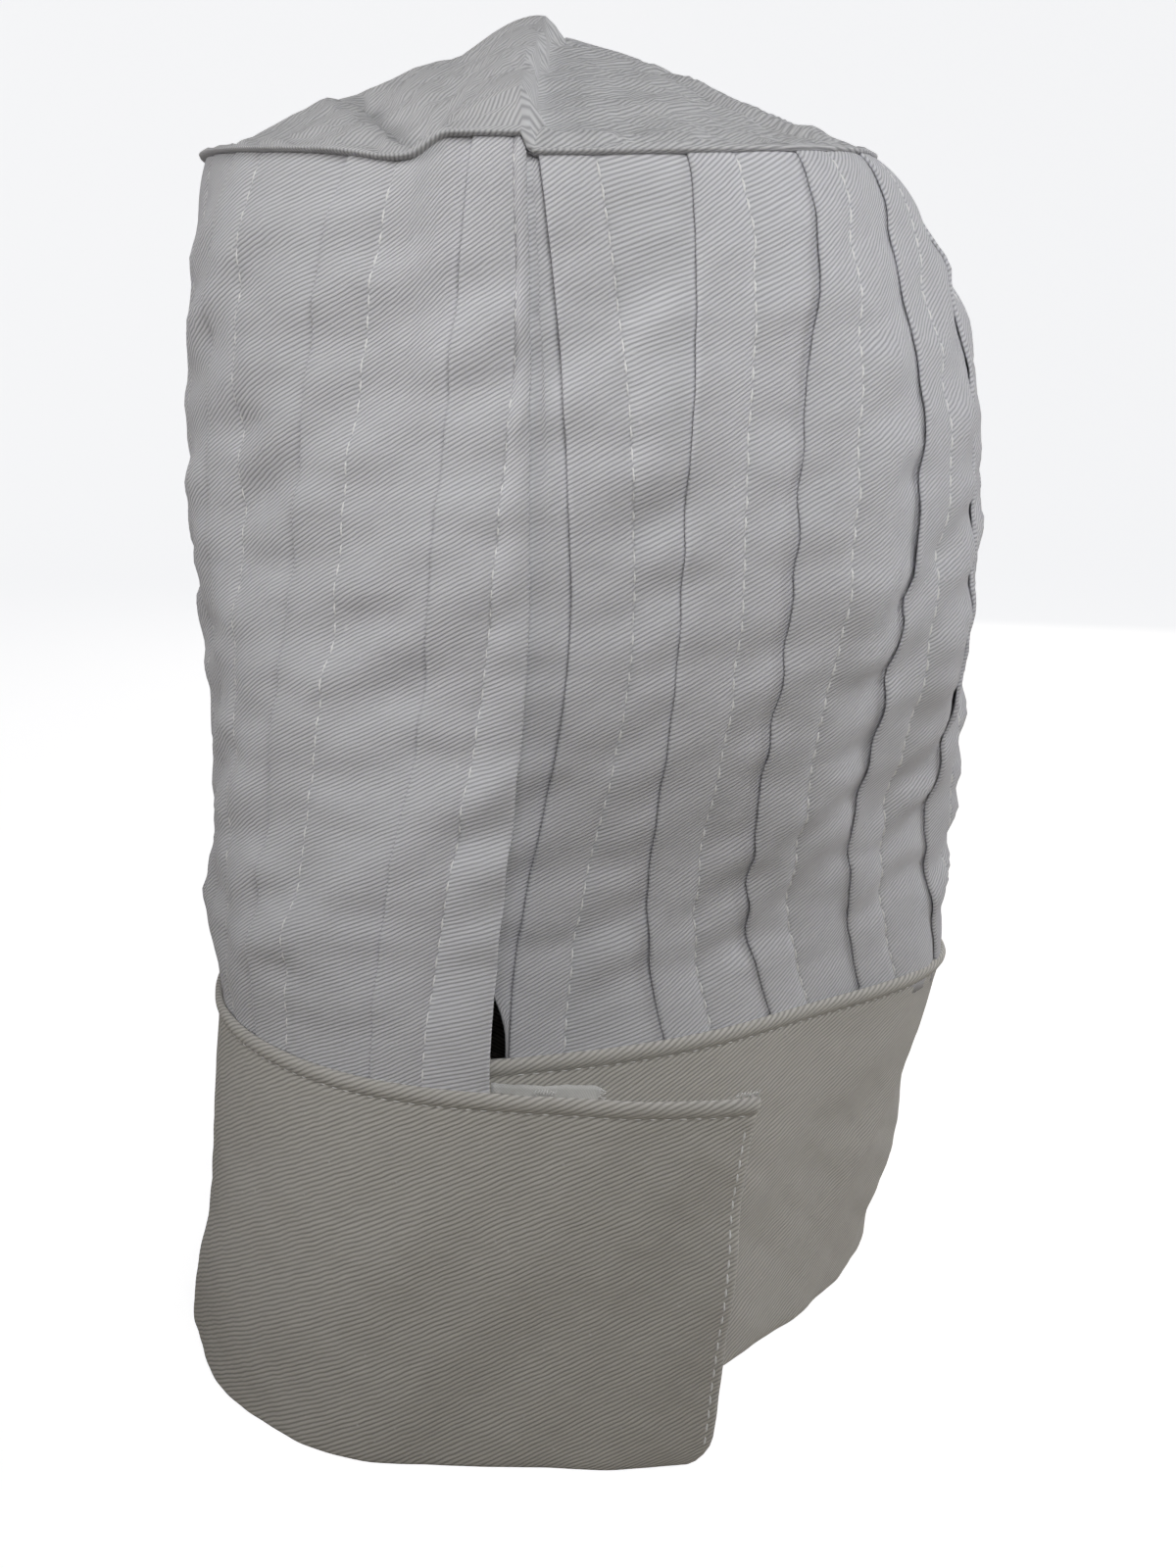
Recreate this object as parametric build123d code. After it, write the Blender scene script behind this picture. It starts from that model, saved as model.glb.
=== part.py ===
from build123d import *
import math
import os

os.makedirs("parts", exist_ok=True)

# A tall pleated cook's hat, standing on the rim of its band, with its back slit facing -Y.
# Millimetres, +Z up, the origin on the resting plane.

# Heights above the resting plane
band_top = 92.0
belly_height = 225.0
crown_seam = 290.0
crown_rise = 40.0

# Cloth thicknesses. The wall is three plies deep in its pleats.
ply = 0.8
interlining = 0.8
ply_gap = 0.1
wall_thickness = 2.4
band_thickness = 2 * ply + interlining + 2 * ply_gap

# The wall's girths, from the band upwards
head_girth = 602.0
belly_radius = 100.5
seam_radius_x = 82.0
seam_radius_y = 96.0
seam_centre = (-12.0, 2.0)
slit_bearing_belly = -7.0
slit_gap_belly = 1.5  # degrees
slit_bearing_seam = 0.0
slit_gap_seam = 1.2  # millimetres
fullest_share = 1 / 1.15  # share of the rise to the belly at which the wall is already full
shoulder_power = 0.75  # how late the wall turns in towards the crown seam
wall_levels = [band_top, 125.0, 160.0, 195.0, belly_height, 250.0, 270.0, 282.0, crown_seam]

# Pleats, as shares of the way round from the left leaf's edge to the right leaf's
pleat_count = 18
pleat_lap = 0.0215
first_fold = 0.047
last_fold = 0.99

# The crown's tent, as shares of its radius and of its rise
tent = [(0, 1.0), (0.18, 0.9), (0.36, 0.68), (0.58, 0.5), (0.8, 0.3), (0.97, 0.07)]
crown_overhang = 1.6
crown_depth = 1.4 * ply
allowance_depth = 9.0
allowance_clearance = 0.8

# Sewing thread, drawn as a narrow raised row
thread_width = 0.8
thread_height = 0.4
thread_clearance = 0.1
edge_margin = 2.5
seam_row_drop = 3.4

# The closure tab, a free end of the band that laps over the other end
tab_root_x = -20.4
tab_end_top_x = 38.0
tab_end_bottom_x = 28.0
tab_end_drop = 3.0
tab_corner_radius = 9.0
tab_lift = 0.6
tab_root_margin = 5.0
tab_line = [(tab_root_x, -103.2), (-4.0, -104.8), (12.0, -104.6), (27.0, -101.8), (42.0, -96.0)]
stiffener_inset = 1.5
cutter_reach = 200.0
cutter_margin = 10.0

# Fastening tapes
tape_thickness = 1.0
tape_clearance = 0.3
tape_bottom = 22.0
tape_top = 70.0
hook_tape_start = 2.0
hook_tape_end = 25.0
loop_tape_shares = (0.9, 0.98)
tape_row_inset = 1.0
seam_tape_end_x = 2.0
seam_tape_low = 6.0
seam_tape_high = 3.5
seam_tape_thickness = 0.6

# Middle of the footprint, which becomes the origin
footprint_centre = (-3.16, -2.41)

# Outer face of the band in plan, from the tab's root leftwards round the head to the underlap's end
rim_plan = [
    (-22.0, -103.5), (-48, -102), (-71, -93), (-91, -73), (-103, -45), (-107, -8), (-101, 32),
    (-79, 68), (-45, 92), (-6, 99), (33, 90), (64, 64), (80, 27), (79, -2), (63, -27),
    (46, -48), (30, -64), (6, -79), (-24, -87),
]
band_top_plan = [
    (-22.0, -103.0), (-42, -98), (-62, -86), (-84, -62), (-96, -30), (-97, 8), (-86, 48),
    (-52, 84), (0, 98), (51, 87), (86, 54), (98, 16), (94, -14), (72, -33), (46, -54),
    (24, -68), (0, -78), (-24, -84),
]
stations = 20
patch_points = 8
patch_points_round = 60


def evenly(plan):
    """Points at even arc lengths along a plan outline."""
    outline = Spline(*plan)
    return [outline @ (i / stations) for i in range(stations + 1)]


rim = evenly(rim_plan)
hem = evenly(band_top_plan)


def girth_point(centre, radius_x, radius_y, bearing):
    """A point of an oval girth; the bearing is measured from -Y towards -X, in degrees."""
    turn = math.radians(bearing)
    return Vector(centre[0] - radius_x * math.sin(turn), centre[1] - radius_y * math.cos(turn))


def wall_station(i, z):
    """The wall's outer face at station i of a level: hem to belly to crown seam."""
    share = i / stations
    belly_bearing = -slit_bearing_belly + share * (360 - slit_gap_belly)
    belly = girth_point((0, 0), belly_radius, belly_radius, belly_bearing)
    if z <= belly_height:
        rise = (z - band_top) / (belly_height - band_top)
        blend = 0.5 - 0.5 * math.cos(math.pi * min(1.0, rise / fullest_share))
        return hem[i] * (1 - blend) + belly * blend
    gap = math.degrees(slit_gap_seam / seam_radius_y)
    seam_bearing = slit_bearing_seam + gap / 2 + share * (360 - gap)
    seam = girth_point(seam_centre, seam_radius_x, seam_radius_y, seam_bearing)
    rise = (z - belly_height) / (crown_seam - belly_height)
    blend = 1 - (1 - rise**2) ** shoulder_power
    return belly * (1 - blend) + seam * blend


def inward(points, depth):
    """The same outline moved inwards by a depth, along its normals."""
    moved = []
    for i, point in enumerate(points):
        before = points[max(i - 1, 0)]
        after = points[min(i + 1, len(points) - 1)]
        run = (after - before).normalized()
        moved.append(point + Vector(run.Y, -run.X) * depth)
    return moved


def leaf(points, near, far, z):
    """The edges and the flat face of a C-shaped slice of cloth, between two depths at height z."""
    outside = [(p.X, p.Y, z) for p in inward(points, near)]
    inside = [(p.X, p.Y, z) for p in inward(points, far)]
    edges = [
        Spline(*outside),
        Line(outside[-1], inside[-1]),
        Spline(*inside),
        Line(inside[0], outside[0]),
    ]
    return edges, Face(Wire(edges))


def wrap(outlines, near, far):
    """A standing sheet of cloth through the outlines given by height, closed all round."""
    slices = [leaf(points, near, far, z) for z, points in outlines.items()]
    sides = []
    for k in range(4):
        skin = Shell.make_loft([Wire(edges[k]) for edges, _ in slices], ruled=True)
        sides += skin.faces()
    return Solid(Shell([*sides, slices[0][1], slices[-1][1]]))


def save(shape, name):
    """Write one piece, moved so that the origin is in the middle of the footprint."""
    placed = Pos(-footprint_centre[0], -footprint_centre[1], 0) * shape
    placed.label = name
    export_step(placed, f"parts/{name}.step")


# --- Pleated wall: one strip of twill, open at the back slit, from the band to the crown seam ---
wall_outlines = {z: [wall_station(i, z) for i in range(stations + 1)] for z in wall_levels}
pleated_wall = wrap(wall_outlines, 0, wall_thickness)
save(pleated_wall, "pleated_wall")

# --- Crown: a round of twill, tented over the wall, its turned-in allowance hanging inside ---
crown_scale = seam_radius_y / seam_radius_x


def dome(radius, rise):
    """A solid tent over a round base, before it is stretched into the oval."""
    profile = [(radius * r, crown_seam + rise * h) for r, h in tent]
    brow = Spline(*profile, (radius, crown_seam), tangents=((1, 0), (0, -1)))
    base = Line((radius, crown_seam), (0, crown_seam))
    axis = Line((0, crown_seam), (0, crown_seam + rise))
    half = Face(Wire([brow, base, axis]))
    return revolve(Plane.XZ * half, Axis.Z)


crown_radius = seam_radius_x + crown_overhang
allowance_radius = seam_radius_x - wall_thickness - allowance_clearance


def ring(outer, inner, low, height):
    """A flat-ended ring that stands on a height."""
    upright = (Align.CENTER, Align.CENTER, Align.MIN)
    return Pos(0, 0, low) * (
        Cylinder(outer, height, align=upright) - Cylinder(inner, height, align=upright)
    )


outer_tent = dome(crown_radius, crown_rise)
inner_tent = dome(crown_radius - crown_depth, crown_rise - crown_depth)
crown_shell = outer_tent - inner_tent
turned_edge = ring(
    allowance_radius, allowance_radius - ply, crown_seam - allowance_depth, allowance_depth
)
seat = ring(seam_radius_x + crown_overhang / 2, allowance_radius - ply, crown_seam, ply)
crown = scale(crown_shell + seat + turned_edge, by=(1, crown_scale, 1))
save(Pos(seam_centre[0], seam_centre[1], 0) * crown, "crown_panel")

# --- Band: outer ply, stiff interlining and inner facing, folded from one straight strip ---
band_depths = {
    "band_outer": (0, ply),
    "band_interlining": (ply + ply_gap, ply + ply_gap + interlining),
    "band_facing": (band_thickness - ply, band_thickness),
}
for name, (near, far) in band_depths.items():
    inset = stiffener_inset if name == "band_interlining" else 0.0
    share = inset / band_top
    low = [a + (b - a) * share for a, b in zip(rim, hem)]
    high = [b + (a - b) * share for a, b in zip(rim, hem)]
    save(wrap({inset: low, band_top - inset: high}, near, far), name)

# --- Closure tab: the band's free end, which turns about its root line at the slit ---


def tab_sheet(near, far, corners, corner_radius=0.0):
    """The tab's curved sheet between two depths, trimmed to an outline seen from the back."""
    line = [Vector(*p) for p in tab_line]
    outside = [(p.X, p.Y) for p in inward(line, -near)]
    inside = [(p.X, p.Y) for p in inward(line, -far)]
    plan = Face(
        Wire(
            [
                Spline(*outside),
                Line(outside[-1], inside[-1]),
                Spline(*inside),
                Line(inside[0], outside[0]),
            ]
        )
    )
    sheet = extrude(plan, amount=band_top + cutter_margin)
    outline = Face(Wire.make_polygon(corners, close=True))
    if corner_radius:
        low_corner = outline.vertices().sort_by(Axis.X)[-2:].sort_by(Axis.Y)[0]
        outline = fillet(low_corner, corner_radius)
    stencil = extrude(Plane.XZ * outline, amount=cutter_reach)
    return sheet & stencil


def tab_corners(inset):
    """The tab's outline less a margin: its end edge leans, and its top edge drops to the end."""
    return [
        (tab_root_x - tab_root_margin, tab_lift + inset),
        (tab_end_bottom_x - inset, tab_lift + inset),
        (tab_end_top_x - inset, band_top - tab_end_drop - inset),
        (tab_root_x - tab_root_margin, band_top - inset),
    ]


def frame_of(start, end, low, high):
    """The corners of an upright rectangle."""
    return [(start, low), (end, low), (end, high), (start, high)]


def row_of(corners, width, near, far):
    """A raised row of thread that runs just inside an outline on the tab."""
    (x0, z0), (x1, z1), (x2, z2), (x3, z3) = corners
    spare = 1.0
    within = [
        (x0 + width, z0 + width),
        (x1 - width, z1 + width),
        (x2 - width, z2 - width),
        (x3 + width, z3 - width),
    ]
    return tab_sheet(near, far, corners) - tab_sheet(near - spare, far + spare, within)


tab_depths = {
    "closure_tab_outer": (0, ply, 0.0),
    "closure_tab_interlining": (ply + ply_gap, ply + ply_gap + interlining, stiffener_inset),
    "closure_tab_facing": (band_thickness - ply, band_thickness, 0.0),
}
for name, (near, far, inset) in tab_depths.items():
    save(tab_sheet(near, far, tab_corners(inset), tab_corner_radius - inset), name)

hook_near = band_thickness + tape_clearance
hook_far = hook_near + tape_thickness
hook_corners = frame_of(hook_tape_start, hook_tape_end, tape_bottom, tape_top)
save(tab_sheet(hook_near, hook_far, hook_corners), "hook_tape")

# A narrow woven tape binds the band's top seam; its raw end shows above the tab
seam_tape_corners = frame_of(
    tab_root_x - tab_root_margin, seam_tape_end_x, band_top - seam_tape_low, band_top + seam_tape_high
)
seam_tape = tab_sheet(hook_near, hook_near + seam_tape_thickness, seam_tape_corners)
save(seam_tape, "seam_tape_end")

# --- Loop tape: sewn to the outside of the underlap, where the hook tape lands ---


def band_outline(z, shares):
    """Points of the band's outer face at height z, at shares of the way round."""
    level = Spline(*[a + (b - a) * (z / band_top) for a, b in zip(rim, hem)])
    return [level @ share for share in shares]


def band_patch(start, end, low, high, near, far):
    """A curved patch that lies on the band."""
    count = patch_points + round(patch_points_round * (end - start))
    shares = [start + (end - start) * i / count for i in range(count + 1)]
    return wrap({z: band_outline(z, shares) for z in (low, high)}, near, far)


loop_start, loop_end = loop_tape_shares
loop_near = -tape_clearance - tape_thickness
loop_tape = band_patch(loop_start, loop_end, tape_bottom, tape_top, loop_near, -tape_clearance)
save(loop_tape, "loop_tape")

# --- Sewing thread: every row that holds the cloth together ---
thread_near = -thread_clearance - thread_height
pleat_rows = []
for k in range(pleat_count):
    fold = first_fold + (last_fold - first_fold) * k / (pleat_count - 1)
    share = fold - pleat_lap
    half = 0.5 * thread_width / head_girth
    levels = {}
    for z in wall_levels:
        girth = Spline(*wall_outlines[z])
        levels[z] = [girth @ (share - half), girth @ (share + half)]
    pleat_rows.append(wrap(levels, thread_near, -thread_clearance))
save(Compound(pleat_rows), "pleat_stitching")

row_top = band_top - edge_margin
row_inset = edge_margin / head_girth
band_row = band_patch(
    row_inset, 1 - row_inset, row_top - thread_width, row_top, thread_near, -thread_clearance
)
save(band_row, "band_top_stitching")

tab_row = row_of(tab_corners(edge_margin), thread_width, thread_near, -thread_clearance)
save(tab_row, "tab_edge_stitching")

hook_row_corners = frame_of(
    hook_tape_start + tape_row_inset,
    hook_tape_end - tape_row_inset,
    tape_bottom + tape_row_inset,
    tape_top - tape_row_inset,
)
hook_row_near = hook_far + thread_clearance
hook_row = row_of(hook_row_corners, thread_width, hook_row_near, hook_row_near + thread_height)
save(hook_row, "hook_tape_stitching")

loop_row_far = loop_near - thread_clearance
loop_row_near = loop_row_far - thread_height
row_end = tape_row_inset / head_girth
loop_rows = []
for z in (tape_bottom + tape_row_inset, tape_top - tape_row_inset - thread_width):
    loop_rows.append(
        band_patch(
            loop_start + row_end, loop_end - row_end, z, z + thread_width, loop_row_near, loop_row_far
        )
    )
save(Compound(loop_rows), "loop_tape_stitching")

seam_thread_radius = allowance_radius - ply - thread_clearance
seam_thread = ring(
    seam_thread_radius, seam_thread_radius - thread_height, crown_seam - seam_row_drop, thread_width
)
seam_thread = scale(seam_thread, by=(1, crown_scale, 1))
save(Pos(seam_centre[0], seam_centre[1], 0) * seam_thread, "crown_seam_stitching")
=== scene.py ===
import math
import bpy
import numpy as np
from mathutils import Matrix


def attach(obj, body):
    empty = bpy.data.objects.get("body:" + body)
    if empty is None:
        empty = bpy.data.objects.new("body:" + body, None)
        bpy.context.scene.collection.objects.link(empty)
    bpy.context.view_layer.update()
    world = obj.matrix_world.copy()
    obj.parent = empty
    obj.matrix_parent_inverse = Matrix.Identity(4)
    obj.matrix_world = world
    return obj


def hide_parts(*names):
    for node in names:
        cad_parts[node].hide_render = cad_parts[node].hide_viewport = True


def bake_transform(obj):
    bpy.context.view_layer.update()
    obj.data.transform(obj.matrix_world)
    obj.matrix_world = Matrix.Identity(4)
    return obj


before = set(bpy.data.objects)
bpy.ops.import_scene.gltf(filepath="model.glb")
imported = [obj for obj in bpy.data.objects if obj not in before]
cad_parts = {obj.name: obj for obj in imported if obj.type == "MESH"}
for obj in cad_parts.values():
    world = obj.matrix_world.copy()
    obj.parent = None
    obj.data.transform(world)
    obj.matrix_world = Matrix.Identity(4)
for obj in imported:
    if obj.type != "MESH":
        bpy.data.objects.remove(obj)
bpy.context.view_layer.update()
mm = 0.001

# --- Pleated wall ---
# One long strip of white twill, folded into eighteen knife pleats that all lie to the left and are
# sewn down half their depth from the fold. It is open down the back slit, narrow where it enters
# the band and where it meets the crown, and soft enough to dent and sag between the two.
band_top = 92.0
belly_height = 225.0
crown_seam = 290.0
belly_radius = 100.5
seam_radius_x = 82.0
seam_radius_y = 96.0
seam_centre = (-12.0, 2.0)
slit_bearing_belly = 7.0
slit_gap_belly = 1.5
slit_gap_seam = 0.72
fullness_pace = 1.15
shoulder_power = 0.75
footprint_centre = np.array([-3.16, -2.41])
cloth_thickness = 0.45

rim_plan = [
    (-22.0, -103.5), (-48, -102), (-71, -93), (-91, -73), (-103, -45), (-107, -8), (-101, 32),
    (-79, 68), (-45, 92), (-6, 99), (33, 90), (64, 64), (80, 27), (79, -2), (63, -27),
    (46, -48), (30, -64), (6, -79), (-24, -87),
]
band_top_plan = [
    (-22.0, -103.0), (-42, -98), (-62, -86), (-84, -62), (-96, -30), (-97, 8), (-86, 48),
    (-52, 84), (0, 98), (51, 87), (86, 54), (98, 16), (94, -14), (72, -33), (46, -54),
    (24, -68), (0, -78), (-24, -84),
]


def smooth_line(points, samples=900):
    """A smooth line through points: its places, and the length along it at each and at each point."""
    points = np.array(points, float)
    count = len(points)
    knots = np.concatenate([[0], np.cumsum(np.linalg.norm(np.diff(points, axis=0), axis=1))])
    gaps = np.diff(knots)
    system = np.eye(count)
    pull = np.zeros_like(points)
    for i in range(1, count - 1):
        system[i, i - 1 : i + 2] = gaps[i - 1], 2 * (gaps[i - 1] + gaps[i]), gaps[i]
        slope_after = (points[i + 1] - points[i]) / gaps[i]
        slope_before = (points[i] - points[i - 1]) / gaps[i - 1]
        pull[i] = 6 * (slope_after - slope_before)
    bend = np.linalg.solve(system, pull)
    at = np.linspace(0, knots[-1], samples)
    i = np.clip(np.searchsorted(knots, at, "right") - 1, 0, count - 2)
    b = ((at - knots[i]) / gaps[i])[:, None]
    a = 1 - b
    bow = ((a**3 - a) * bend[i] + (b**3 - b) * bend[i + 1]) * (gaps[i] ** 2)[:, None] / 6
    places = a * points[i] + b * points[i + 1] + bow
    lengths = np.concatenate([[0], np.cumsum(np.linalg.norm(np.diff(places, axis=0), axis=1))])
    return places, lengths, np.interp(knots, at, lengths)


def at_length(places, lengths, where):
    """Places on a sampled line at the lengths given."""
    return np.stack([np.interp(where, lengths, places[:, k]) for k in range(places.shape[1])], -1)


def evenly(plan, shares):
    """Places at shares of a plan line's length."""
    places, lengths, _ = smooth_line(plan)
    return at_length(places, lengths, shares * lengths[-1])


def ease(x):
    """A smooth step from 0 to 1."""
    x = np.clip(x, 0, 1)
    return x * x * (3 - 2 * x)


def ripple(x, y, seed, length_x, length_y, waves=7):
    """A soft uneven field between about -1 and 1, with the wavelengths given."""
    draw = np.random.default_rng(seed)
    total = np.zeros(np.broadcast(x, y).shape)
    for _ in range(waves):
        kx, ky = draw.normal(0, 1, 2)
        total += np.sin(2 * math.pi * (kx * x / length_x + ky * y / length_y) + draw.uniform(0, 6.28))
    return total / math.sqrt(waves)


def seam_lift(bearing):
    """How far the crown seam stands above its lowest place, round the hat, in millimetres."""
    turn = np.radians(bearing)
    sides = 8.0 * np.sin(turn) ** 2 + 2.0 * (1 - np.cos(turn))
    around = (bearing + 180) % 360 - 180
    pinch = 3.6 * ease((around + 0.5) / 1.4) * ease((17 - around) / 6)
    pinch -= 1.2 * np.exp(-(((around - 20) / 6) ** 2))
    return sides + pinch


def wall_base(z, shares):
    """The wall's outer face before it is pleated, from the left leaf's edge (share 0) round."""
    hem = evenly(band_top_plan, shares)
    turn = np.radians(slit_bearing_belly + shares * (360 - slit_gap_belly))
    belly = belly_radius * np.stack([-np.sin(turn), -np.cos(turn)], -1)
    bearing = slit_gap_seam / 2 + shares * (360 - slit_gap_seam)
    turn = np.radians(bearing)
    seam = np.stack([
        seam_centre[0] - seam_radius_x * np.sin(turn), seam_centre[1] - seam_radius_y * np.cos(turn),
    ], -1)
    if z < band_top:
        rim = evenly(rim_plan, shares)
        plan = hem + (rim - hem) * (band_top - z) / band_top
    elif z <= belly_height:
        rise = (z - band_top) / (belly_height - band_top)
        blend = 0.5 - 0.5 * math.cos(math.pi * min(1.0, fullness_pace * rise))
        plan = hem * (1 - blend) + belly * blend
    else:
        rise = (z - belly_height) / (crown_seam - belly_height)
        blend = 1 - (1 - rise**2) ** shoulder_power
        plan = belly * (1 - blend) + seam * blend
    lift = seam_lift(bearing) * ease((z - belly_height) / (crown_seam - belly_height))
    return np.concatenate([plan, (z + lift)[:, None]], 1)


def in_frame(places):
    """Millimetres about the band's own centre, as metres about the hat's origin."""
    moved = np.array(places, float)
    moved[..., :2] -= footprint_centre
    return moved * mm


def cloth_grid(name, places, flat, flip=False):
    """A sheet of cloth through rows and columns of places, with its flat shape as its UV map."""
    rows, columns = places.shape[:2]
    bpy.ops.object.select_all(action="DESELECT")
    bpy.ops.mesh.primitive_grid_add(x_subdivisions=columns - 1, y_subdivisions=rows - 1, size=1)
    cloth = bpy.context.object
    cloth.name = name
    mesh = cloth.data
    mesh.name = name
    mesh.vertices.foreach_set("co", in_frame(places).reshape(-1))
    corners = np.empty(len(mesh.loops), int)
    mesh.loops.foreach_get("vertex_index", corners)
    mesh.uv_layers.active.data.foreach_set("uv", (flat.reshape(-1, 2)[corners] * mm).reshape(-1))
    mesh.update()
    if flip:
        mesh.flip_normals()
    return cloth


def thicken(cloth, thickness, offset=0.0):
    """Gives a sheet its cloth thickness, and smooth shading."""
    bpy.ops.object.select_all(action="DESELECT")
    cloth.select_set(True)
    bpy.context.view_layer.objects.active = cloth
    solidify = cloth.modifiers.new("ply", "SOLIDIFY")
    solidify.thickness = thickness * mm
    solidify.offset = offset
    solidify.use_rim = True
    bpy.ops.object.modifier_apply(modifier=solidify.name)
    bpy.ops.object.shade_smooth()


pleat_count = 18
pleat_lap = 13.0
head_girth = 602.0


def spread(first, last):
    """Fold places as shares of the girth: some listed at each end, and even steps between them."""
    between = pleat_count - len(first) - len(last)
    steps = np.linspace(first[-1], last[0], between + 2)[1:-1]
    return np.array([*first, *steps, *last])


fold_heights = (band_top, 205.0, crown_seam)
fold_shares = (
    spread([0.047, 0.1146, 0.164], [0.8196, 0.873, 0.926, 0.99]),
    spread([0.033, 0.093], [0.853, 0.911, 0.952, 0.99]),
    spread([0.02, 0.073, 0.146], [0.881, 0.937, 0.997]),
)


def folds_at(z):
    """Where the eighteen fold edges lie at a height, as shares: a smooth curve through three levels."""
    (z0, z1, z2), (f0, f1, f2) = fold_heights, fold_shares
    z = np.clip(z, z0, z2)
    return (
        f0 * (z - z1) * (z - z2) / ((z0 - z1) * (z0 - z2))
        + f1 * (z - z0) * (z - z2) / ((z1 - z0) * (z1 - z2))
        + f2 * (z - z0) * (z - z1) / ((z2 - z0) * (z2 - z1))
    )


wall_rows = np.concatenate([
    [86.0, 89.0, 91.5], np.linspace(band_top + 1, 276, 76), np.linspace(278, crown_seam - 0.3, 11),
])
base_shares = np.linspace(0, 1, 361)
base = np.stack([wall_base(z, base_shares) for z in wall_rows])
girth_mm = base_shares * head_girth

# Soft dents, sags and creases of the whole wall
held = ease((wall_rows - band_top) / 26) * ease((crown_seam - wall_rows) / 22)
run = np.gradient(base[..., :2], axis=1)
run /= np.linalg.norm(run, axis=-1, keepdims=True)
outward = np.stack([-run[..., 1], run[..., 0], np.zeros(run.shape[:2])], -1)


def dents(girth, height):
    """Broad sags, and smaller dents that lean across the pleats."""
    depth = 1.7 * ripple(girth, height, 11, 150, 170) + 1.25 * ripple(girth, height, 5, 70, 90)
    depth += 0.95 * ripple(girth + 0.7 * height, height, 8, 42, 40)
    return depth + 0.32 * ripple(girth - 0.5 * height, height, 9, 20, 24)


near_end = ease((girth_mm - head_girth + 70) / 60)[None]
sag = dents(girth_mm[None], wall_rows[:, None]) * (1 - near_end)
sag += dents(girth_mm[None] - head_girth, wall_rows[:, None]) * near_end
base += outward * (sag * held[:, None])[..., None]

# Each pleat's path through the cloth: under the last lap, across the panel, over the fold and back
under_lap = [(0.3, 1.95), (3.5, 2.0), (9.0, 1.62)]
panel_shares = [0.0, 0.05, 0.16, 0.32, 0.5, 0.68, 0.84, 0.95, 0.985]
lap_out = [(0.0, 0.9), (0.8, 0.55), (2.6, 0.2), (6.5, 0.02), (10.0, 0.0), (12.2, 0.0)]
fold_turn = [(12.85, 0.1), (13.0, 0.36), (12.8, 0.6), (12.2, 0.68)]
lap_back = [(9.0, 0.85), (5.0, 1.1), (1.5, 1.45), (0.1, 1.7)]
leaf_turn = [(4.0, 1.25), (0.8, 1.05), (0.05, 0.7)]
leaf_depth = 0.35
under_fold_depth = 1.34
stitch_depth = 0.62
puff_depth = 0.75
first_stitch = 0.0042
near_pleats = 4
proud_pleat = 14

stitch_lines = []
columns_share = []
columns_depth = []


def lay(share, depth):
    """Adds one upright line of the sheet: where it lies round the hat, and how deep."""
    columns_share.append(share)
    columns_depth.append(np.broadcast_to(depth, len(wall_rows)))


panel_number = np.arange(pleat_count)
folds = np.stack([folds_at(z) for z in wall_rows])
lap_share = pleat_lap / head_girth
opening = np.stack([
    0.5 + 0.45 * ripple(wall_rows, 0 * wall_rows + 1, 40 + k, 120, 1, waves=4) for k in panel_number
], 1)
opening = np.clip(opening, 0.05, 1.5) * held[:, None] ** 0.7
opening *= np.where(panel_number < near_pleats, 0.45, 0.6)
opening *= np.where(panel_number == proud_pleat, 1.6, 1.0)
for k in range(pleat_count):
    stitch = folds[:, k] - lap_share
    stitch = np.maximum(stitch, first_stitch if k == 0 else 0)
    start = np.zeros(len(wall_rows))
    start_depth = leaf_depth
    if k > 0:
        last_stitch = folds[:, k - 1] - lap_share
        last_stitch = np.maximum(last_stitch, first_stitch if k == 1 else 0)
        for along, depth in under_lap:
            lay(last_stitch + along / head_girth, depth)
        start = folds[:, k - 1]
        start_depth = under_fold_depth
    else:
        for along, depth in leaf_turn:
            lay(start + along / head_girth, depth)
    for q in panel_shares:
        puff = puff_depth * math.sin(math.pi * q) ** 0.8
        lay(start + (stitch - start) * q, start_depth + (stitch_depth - start_depth) * q**0.8 - puff)
    stitch_lines.append(len(columns_share))
    for along, depth in lap_out + fold_turn + lap_back:
        lifted = depth - opening[:, k] * (along / pleat_lap) ** 1.6
        lay(stitch + (folds[:, k] - stitch) * along / pleat_lap, lifted)

# The right leaf's edge: it runs on behind the left leaf, and stands back from it at the foot
last_stitch = folds[:, -1] - lap_share
stub_reach = 9.0 * ease((wall_rows - 112) / 38)
stub_sink = 1.1 * ease((wall_rows - 104) / 42)
leaf_end = 1.0 - 5.5 * ease((118 - wall_rows) / 22) / head_girth
for along, depth in under_lap + [(13.0, 1.9), (17.0, 1.7)]:
    lay(np.minimum(last_stitch + along / head_girth, leaf_end), depth)
for part_out, depth in ((0.0, 1.7), (0.35, 1.9), (0.7, 2.2), (1.0, 2.5)):
    lay(leaf_end + part_out * stub_reach / head_girth, depth + part_out * stub_sink)
for back, depth in ((0.1, 2.85), (1.5, 3.1), (4.0, 3.2)):
    lay(leaf_end + (stub_reach - back) / head_girth, depth + stub_sink)
columns_share = np.stack(columns_share, 1)
columns_depth = np.stack(columns_depth, 1)
# The plies are pressed together where the band and the crown seam hold them
columns_depth = 0.25 + columns_depth * (0.82 + 0.18 * held[:, None])
columns_depth += 0.45 * ease((band_top + 1 - wall_rows) / 4)[:, None]

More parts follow.
